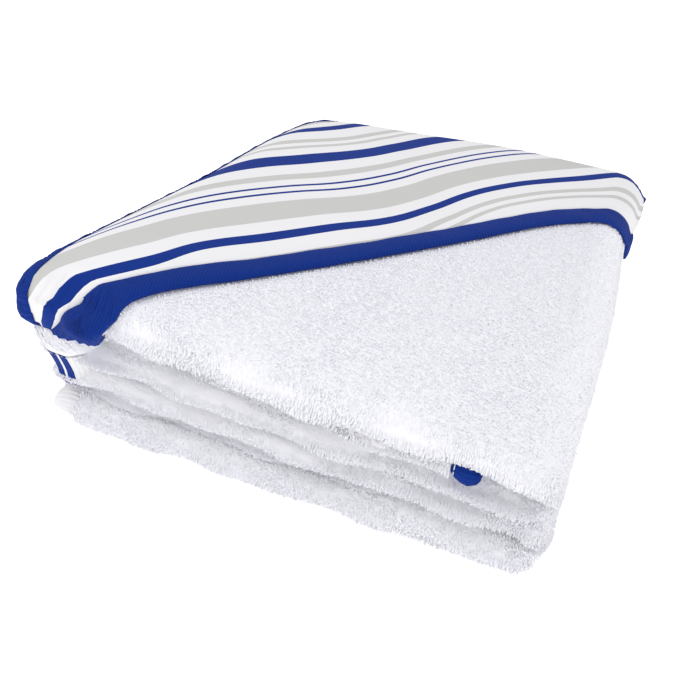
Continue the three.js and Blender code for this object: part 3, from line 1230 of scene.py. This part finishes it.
@dataclass
class EdgeBinding(Piece):
    """The strip turned over one stretch of the towel's edge.

    Attributes:
        start: Where it starts on the towel's outline.
        end: Where it ends.
        low: The height of its under face.
        high: The height of its upper face.
        wall: Its thickness.
        crown: How much it swells between its seam and the edge.
        pucker: How much the sewing draws it up and down.
        upper: How far its upper side reaches in.
        upper_at_end: How far it does near its end.
        spacing: The distance between the mesh's rows.
    """

    name: str = "hem_strip"
    finish: Finish = STRIPED_RIB
    nodes: tuple[str, ...] = ("edge_binding",)
    start: float = 0.0
    end: float = 1.0
    low: float = -1.5 * MM
    high: float = 1.5 * MM
    wall: float = 0.5 * MM
    crown: float = 0.5 * MM
    pucker: float = 0.10
    upper: float = PATTERN.binding_width
    upper_at_end: float = PATTERN.binding_width
    spacing: float = 1.6 * MM

    def mesh(self) -> PatternMesh:
        """Gives the strip's mesh in the flat pattern.

        Returns:
            The mesh.
        """
        count = round((self.end - self.start) / self.spacing)
        distances = np.linspace(self.start, self.end, count + 1)
        width = PATTERN.binding_width
        insets, heights = half_ring(self.upper, width, self.low, self.high, self.wall, self.crown)
        wider, _ = half_ring(self.upper_at_end, width, self.low, self.high, self.wall, self.crown)
        widens_from, widens_to = self.end - 60 * MM, self.end - 20 * MM
        near_end = smooth(distances, widens_from, widens_to)[:, None]
        insets = insets[None, :] + (wider - insets)[None, :] * near_end
        pucker = 1 + self.pucker * (np.sin(distances * 420) * np.sin(distances * 93 + 1))[:, None]
        middle = (self.low + self.high) / 2
        heights = (heights - middle)[None, :] * pucker + middle
        made = PatternMesh(self.name)
        made.add_strip(OUTLINE.sweep(distances, insets, heights), distances)
        return made


@dataclass(frozen=True)
class HoodLayer:
    """A triangular layer of the hood, by its under and upper face and how much it puffs up."""

    low: float
    high: float
    puff: float


def hood_grid(behind: Array, across: Array) -> tuple[Array, Array]:
    """Gives places of the pattern on the hood.

    Args:
        behind: Distances behind the hood's front edge, one for each row.
        across: Shares of the way from the left leg to the back leg, one for each column.

    Returns:
        The places u and v, by row and column.
    """
    cut = PATTERN
    full = cut.hood_leg * math.sqrt(2)
    n = behind[:, None]
    along = n + across[None, :] * (full - 2 * n)
    bow_fades = 70 * MM
    n = n - cut.hood_bow(along) * (1 - smooth(n, 0, bow_fades))
    along = n + across[None, :] * (full - 2 * n)
    p = (along - n) / math.sqrt(2)
    q = (full - along - n) / math.sqrt(2)
    return round_corners(cut.width - p, q)


@dataclass
class HoodPanel(Piece):
    """One layer of the hood."""

    name: str = "hood_striped_layer"
    finish: Finish = JERSEY
    nodes: tuple[str, ...] = ("hood_panel",)
    layer: HoodLayer = HoodLayer(4.3 * MM, 5.0 * MM, 1.8 * MM)
    rows: int = 90
    columns: int = 190

    def mesh(self) -> PatternMesh:
        """Gives the layer's mesh in the flat pattern.

        Returns:
            The mesh.
        """
        deep = PATTERN.hood_leg / math.sqrt(2)
        behind = np.linspace(0, deep - 0.5 * MM, self.rows)
        across = np.linspace(0, 1, self.columns)
        u, v = hood_grid(behind, across)
        front_held, flattest = 8 * MM, 0.4
        edge = np.minimum(PATTERN.edge_distance(u, v), behind[:, None] + front_held)
        puff = self.layer.puff * smooth(edge, 3 * MM, 20 * MM)
        waves = 0.5 + 0.5 * np.sin(31 * u + 22 * v) * np.sin(47 * v - 18 * u + 1)
        puff = puff * (flattest + (1 - flattest) * waves)
        made = PatternMesh(self.name)
        made.add_slab(
            np.stack([u, v, self.layer.high + puff], axis=-1),
            np.stack([u, v, np.full_like(u, self.layer.low)], axis=-1),
        )
        return made


@dataclass
class FrontBinding(Piece):
    """The puffed strip turned over the hood's front edge."""

    name: str = "hood_front_strip"
    finish: Finish = BLUE_RIB
    nodes: tuple[str, ...] = ("hood_front_binding",)
    low: float = 2.0 * MM
    high: float = 6.6 * MM
    spacing: float = 1.2 * MM

    def mesh(self) -> PatternMesh:
        """Gives the strip's mesh in the flat pattern.

        Returns:
            The mesh.
        """
        full = PATTERN.hood_leg * math.sqrt(2)
        across = np.linspace(0, 1, round(full / self.spacing) + 1)
        turn = np.linspace(0, 2 * math.pi, 18, endpoint=False)
        overlap = 0.5 * MM
        half = PATTERN.front_binding_width / 2 + overlap
        cosine, sine = np.cos(turn), np.sin(turn)
        behind = -PATTERN.front_binding_width / 2 + half * np.sign(cosine) * np.abs(cosine) ** 0.8
        middle = (self.low + self.high) / 2
        lift = (self.high - self.low) / 2 * np.sign(sine) * np.abs(sine) ** 0.75
        along = across[:, None] * full
        pucker = 1 + 0.06 * np.sin(along * 330 + 2 * behind[None, :] * 90)
        pucker = pucker + 0.05 * np.sin(along * 141 + 1.3)
        n = behind[None, :] - PATTERN.hood_bow(along)
        p = across[:, None] * (full - 2 * n) / math.sqrt(2)
        q = (full - 2 * n) / math.sqrt(2) - p
        heights = middle + lift[None, :] * pucker
        made = PatternMesh(self.name)
        made.add_strip(np.stack([PATTERN.width - p, q, heights], axis=-1), along[:, 0])
        return made


class Tufts:
    """Scatters the terry's loops, as small bent blades, over stretches of the pattern."""

    def __init__(self, seed: int) -> None:
        """Seeds the scatter.

        Args:
            seed: The seed.
        """
        self.random = np.random.default_rng(seed)

    def scatter(self, low: tuple[float, float], high: tuple[float, float], spacing: float) -> Array:
        """Gives jittered places in a rectangle.

        Args:
            low: Its lowest u and v.
            high: Its highest u and v.
            spacing: The mean spacing.

        Returns:
            Rows of u and v.
        """
        size_u, size_v = high[0] - low[0], high[1] - low[1]
        across, along = max(1, round(size_u / spacing)), max(1, round(size_v / spacing))
        i, j = np.meshgrid(np.arange(across), np.arange(along))
        grid = np.stack([i.ravel(), j.ravel()], axis=1) + self.random.random((across * along, 2))
        return np.array(low) + grid * [size_u / across, size_v / along]

    def blades(self, places: Array, side: int, length: float, width: float) -> tuple[Array, ...]:
        """Stands a bent blade at each place.

        Args:
            places: Rows of u and v.
            side: 1 for the outer face and -1 for the inner one.
            length: The blades' mean length.
            width: The blades' mean width.

        Returns:
            The points, and the quads and triangles that join them.
        """
        count, random = len(places), self.random
        lean = random.random(count) * 2 * math.pi
        reach = length * (0.1 + 0.7 * random.random(count))
        tall = length * (0.55 + 0.5 * random.random(count))
        wide = width * (0.7 + 0.6 * random.random(count))
        turn = random.random(count) * 2 * math.pi
        rings = [(0.0, 0.0, 0.8), (0.35, 0.75, 1.0)]
        points = []
        rooted = 0.5 * MM
        base = PATTERN.sheet / 2 - rooted
        for out, up, size in rings:
            for corner in range(3):
                angle = turn + corner * 2 * math.pi / 3
                u = places[:, 0] + out * reach * np.cos(lean) + wide / 2 * size * np.cos(angle)
                v = places[:, 1] + out * reach * np.sin(lean) + wide / 2 * size * np.sin(angle)
                points.append(np.stack([u, v, side * (base + up * tall)], axis=1))
        u = places[:, 0] + reach * np.cos(lean)
        v = places[:, 1] + reach * np.sin(lean)
        points.append(np.stack([u, v, side * (base + tall * 0.85)], axis=1))
        stacked = np.stack(points, axis=1)
        quads = np.array([[0, 1, 4, 3], [1, 2, 5, 4], [2, 0, 3, 5]])
        tips = np.array([[3, 4, 6], [4, 5, 6], [5, 3, 6]])
        step = np.arange(count)[:, None, None] * 7
        turned = slice(None, None, int(side))
        blocks = [(faces[:, turned][None] + step).reshape(-1, faces.shape[1]) for faces in (quads, tips)]
        return stacked.reshape(-1, 3), *blocks


@dataclass(frozen=True)
class PileArea:
    """A stretch of the pattern whose pile is modelled.

    Attributes:
        low: Its lowest u and v.
        high: Its highest u and v.
        side: 1 for the outer face and -1 for the inner one.
        clear_hood: Whether the part under the hood is left out.
    """

    low: tuple[float, float]
    high: tuple[float, float]
    side: int = 1
    clear_hood: bool = False


@dataclass
class Pile(Piece):
    """The terry's standing loops over some stretches of the sheet.

    Attributes:
        areas: The stretches.
        seed: The seed of their scatter.
        spacing: The mean distance between loops.
        length: A loop's mean length.
        width: A loop's mean width.
    """

    name: str = "terry_pile"
    finish: Finish = PILE
    areas: Sequence[PileArea] = ()
    seed: int = 1
    spacing: float = 1.0 * MM
    length: float = 2.0 * MM
    width: float = 0.65 * MM

    def mesh(self) -> PatternMesh:
        """Gives the loops' mesh in the flat pattern.

        Returns:
            The mesh.
        """
        tufts = Tufts(self.seed)
        made = PatternMesh(self.name, smooth_shaded=False)
        spacing = self.spacing * 1.0
        for area in self.areas:
            places = tufts.scatter(area.low, area.high, spacing)
            keep = PATTERN.edge_distance(places[:, 0], places[:, 1]) > PATTERN.binding_width
            if area.clear_hood:
                behind, along = PATTERN.hood_place(places[:, 0], places[:, 1])
                keep &= behind < -PATTERN.front_binding_width - PATTERN.hood_bow(along)
            made.add(*tufts.blades(places[keep], area.side, self.length, self.width))
        return made


@dataclass
class Stitching(Piece):
    """A row of sewing stitches along a stretch of the edge.

    Attributes:
        start: Where the row starts on the towel's outline.
        end: Where it ends.
        heights: The heights that it lies at.
        inset: How far in from the edge it is.
        pitch: The distance from one stitch to the next.
        length: A stitch's length.
        width: A stitch's width.
        rings: A stitch's sections: place along it, size and lift.
    """

    name: str = "hem_stitches"
    finish: Finish = WHITE_THREAD
    nodes: tuple[str, ...] = ("edge_stitching",)
    start: float = 0.0
    end: float = 1.0
    heights: tuple[float, ...] = (-1.5 * MM, 1.5 * MM)
    inset: float = 9.4 * MM
    pitch: float = 3.0 * MM
    length: float = 2.3 * MM
    width: float = 0.55 * MM
    rings: tuple[tuple[float, float, float], ...] = (
        (-0.5, 0.35, -0.12 * MM), (-0.3, 1, 0.1 * MM), (0.3, 1, 0.1 * MM), (0.5, 0.35, -0.12 * MM),
    )

    def centres(self) -> tuple[Array, Array, Array, Array]:
        """Gives the stitches' centres and the directions across them.

        Returns:
            The places u and v, and the two parts of the direction across.
        """
        distances = np.arange(self.start + self.pitch, self.end - self.pitch, self.pitch)
        u, v, in_u, in_v = OUTLINE.at(distances)
        return u + in_u * self.inset, v + in_v * self.inset, in_u, in_v

    def mesh(self) -> PatternMesh:
        """Gives the stitches' mesh in the flat pattern.

        Returns:
            The mesh.
        """
        u, v, in_u, in_v = self.centres()
        along_u, along_v = -in_v, in_u
        made = PatternMesh(self.name)
        for height in self.heights:
            points = []
            for step, size, lift in self.rings:
                for across, up in ((-1, 0), (0, 1), (1, 0), (0, -1)):
                    side = across * size * self.width / 2
                    reach = step * self.length
                    level = height + math.copysign(1, height) * lift + up * size * self.width * 0.4
                    points.append(np.stack([
                        u + along_u * reach + in_u * side, v + along_v * reach + in_v * side,
                        np.full_like(u, level),
                    ], axis=1))
            stacked = np.stack(points, axis=1).reshape(-1, 3)
            ring = np.arange(4)
            after = (ring + 1) % 4
            quads = np.concatenate(
                [np.stack([ring, after, after + 4, ring + 4], axis=1) + 4 * k for k in range(3)]
                + [np.array([[3, 2, 1, 0], [12, 13, 14, 15]])]
            )
            step = np.arange(len(u))[:, None, None] * 16
            made.add(stacked, (quads[None] + step).reshape(-1, 4))
        return made


@dataclass
class FrontStitching(Stitching):
    """The row of stitches behind the hood's front binding."""

    name: str = "hood_front_stitches"
    finish: Finish = BLUE_THREAD
    nodes: tuple[str, ...] = ("hood_front_stitching",)
    heights: tuple[float, ...] = (5.5 * MM,)
    inset: float = -1.5 * MM

    def centres(self) -> tuple[Array, Array, Array, Array]:
        """Gives the stitches' centres and the directions across them.

        Returns:
            The places u and v, and the two parts of the direction across.
        """
        full = PATTERN.hood_leg * math.sqrt(2)
        left_clear, right_clear = 48 * MM, 12 * MM
        along = np.arange(left_clear, full - right_clear, self.pitch)
        n = self.inset - PATTERN.hood_bow(along)
        p, q = (along - n) / math.sqrt(2), (full - along - n) / math.sqrt(2)
        across = np.full_like(along, math.sqrt(0.5))
        return PATTERN.width - p, q, across, -across


# ---------- the studio ----------
@dataclass(frozen=True)
class Softbox:
    """A large area light, by where it stands, its size and its power."""

    name: str
    place: tuple[float, float, float]
    size: float
    power: float
    colour: tuple[float, float, float] = (1.0, 1.0, 1.0)


@dataclass(frozen=True)
class CameraSetting:
    """Where the camera is, how it is turned and how long its lens is."""

    place: tuple[float, float, float]
    azimuth: float
    elevation: float
    roll: float
    lens: float


class Studio:
    """The camera, the lights and the floor."""

    camera = CameraSetting((0.1111, -0.3741, 0.2326), 21.557, 31.933, 3.017, 38.97)
    boxes = (
        Softbox("key", (-0.5, -0.5, 1.3), 1.2, 7.2),
        Softbox("fill", (1.2, -0.7, 0.8), 1.2, 3.0, (0.96, 0.97, 1.0)),
    )
    daylight = 0.69

    def add_camera(self) -> bpy.types.Object:
        """Makes the scene's camera.

        Returns:
            The camera.
        """
        setting = self.camera
        a, e, r = (math.radians(x) for x in (setting.azimuth, setting.elevation, setting.roll))
        back = Vector((math.sin(a) * math.cos(e), -math.cos(a) * math.cos(e), math.sin(e)))
        right = (-back).cross(Vector((0, 0, 1))).normalized()
        up = right.cross(-back)
        turned_right = math.cos(r) * right + math.sin(r) * up
        turned_up = -math.sin(r) * right + math.cos(r) * up
        data = bpy.data.cameras.new("camera")
        data.lens = setting.lens
        data.sensor_width = 36
        made = bpy.data.objects.new("camera", data)
        turn = Matrix((turned_right, turned_up, back)).transposed()
        made.matrix_world = Matrix.Translation(setting.place) @ turn.to_4x4()
        bpy.context.scene.collection.objects.link(made)
        bpy.context.scene.camera = made
        return made

    def add_lights(self) -> None:
        """Makes the softboxes and the daylight."""
        for box in self.boxes:
            data = bpy.data.lights.new(box.name, "AREA")
            data.size = box.size
            data.energy = box.power
            data.color = box.colour
            made = bpy.data.objects.new(box.name, data)
            made.location = box.place
            made.rotation_euler = (-Vector(box.place)).to_track_quat("-Z", "Y").to_euler()
            bpy.context.scene.collection.objects.link(made)
        world = bpy.data.worlds.new("daylight")
        world.use_nodes = True
        background = world.node_tree.nodes["Background"]
        background.inputs["Color"].default_value = (1, 1, 1, 1)
        background.inputs["Strength"].default_value = self.daylight
        bpy.context.scene.world = world

    def add_floor(self) -> None:
        """Makes the white floor."""
        mesh = bpy.data.meshes.new("floor")
        reach = 6.0
        corners = [(-reach, -reach, 0), (reach, -reach, 0), (reach, reach, 0), (-reach, reach, 0)]
        mesh.from_pydata(corners, [], [(0, 1, 2, 3)])
        made = bpy.data.objects.new("floor", mesh)
        shader = Shader("floor")
        shader.set_surface({
            "Base Color": (0.9, 0.9, 0.9, 1), "Roughness": 1.0, "Specular IOR Level": 0.0,
            "Emission Color": (1.0, 0.99, 0.95, 1), "Emission Strength": 0.6,
        })
        mesh.materials.append(shader.material)
        bpy.context.scene.collection.objects.link(made)


# ---------- the whole ----------
def pile_pieces() -> list[Pile]:
    """Shares the visible terry out between a few pieces of pile.

    Returns:
        The pieces.
    """
    cut = PATTERN
    rim = cut.binding_width
    back = cut.v_middle + cut.reach - cut.back_fold / 2
    far_width, far_length = cut.width - rim, cut.length - rim
    flap_width, flap_length = 48 * MM, 200 * MM
    front = {"spacing": 0.86 * MM, "length": 1.9 * MM}
    return [
        Pile("pile_top", seed=11, areas=(
            PileArea((cut.u_last, rim), (far_width, cut.end_panel), clear_hood=True),
        )),
        Pile("pile_front_upper", seed=12, **front, areas=(
            PileArea((rim, cut.end_panel), (far_width, cut.v_middle)),
        )),
        Pile("pile_front_lower", seed=13, **front, areas=(
            PileArea((rim, cut.v_far_fold), (far_width, cut.v_last)),
        )),
        Pile("pile_right", seed=14, areas=(
            PileArea((cut.u_right_fold, rim), (cut.u_last, cut.end_panel), clear_hood=True),
            PileArea((cut.u_right_fold, cut.v_last), (cut.u_last, far_length)),
        )),
        Pile("pile_left", seed=15, areas=(
            PileArea((cut.u_left_fold, rim), (cut.u_middle, cut.end_panel)),
            PileArea((cut.u_left_fold, cut.v_last), (cut.u_middle, far_length)),
            PileArea(
                (cut.width - flap_width, cut.v_middle), (far_width, cut.v_middle + flap_length), side=-1,
            ),
        )),
        Pile("pile_back", seed=16, areas=(
            PileArea((cut.u_last, back), (far_width, back + cut.back_fold), side=-1),
        )),
    ]


def towel_pieces() -> list[Piece]:
    """Lists the towel's pieces, the sheet first.

    Returns:
        The pieces.
    """
    gap = 0.3 * MM
    hood_start = OUTLINE.hood_start - PATTERN.front_binding_width * math.sqrt(2)
    hood = {"start": hood_start, "end": OUTLINE.total + OUTLINE.hood_end}
    plain = {"start": OUTLINE.hood_end + gap, "end": hood_start - gap}
    return [
        TerryBody(),
        EdgeBinding(**plain),
        Stitching(**plain),
        HoodPanel(
            name="hood_terry_layer", finish=LINING, nodes=("hood_lining",),
            layer=HoodLayer(2.1 * MM, 4.1 * MM, 0.0), rows=60, columns=120,
        ),
        HoodPanel(),
        FrontBinding(),
        FrontStitching(),
        EdgeBinding(
            name="hood_edge_strip", finish=BLUE_RIB, nodes=("hood_edge_binding",), **hood,
            low=-1.6 * MM, high=5.6 * MM, crown=0.3 * MM, upper=2.6 * MM, upper_at_end=6 * MM,
        ),
        Stitching(
            name="hood_edge_stitches", finish=BLUE_THREAD, nodes=("hood_edge_stitching",), **hood,
            heights=(5.6 * MM,), inset=1.9 * MM,
        ),
        *pile_pieces(),
    ]


def main() -> None:
    """Builds the scene."""
    logging.basicConfig(level=logging.INFO, format="%(message)s")
    studio = Studio()
    studio.add_camera()
    stack, wardrobe = Stack(), Wardrobe()
    sheet, *others = [piece.build(stack, wardrobe) for piece in towel_pieces()]
    studio.add_lights()
    studio.add_floor()
    bpy.context.scene.view_settings.view_transform = "Standard"


if __name__ == "__main__":
    main()
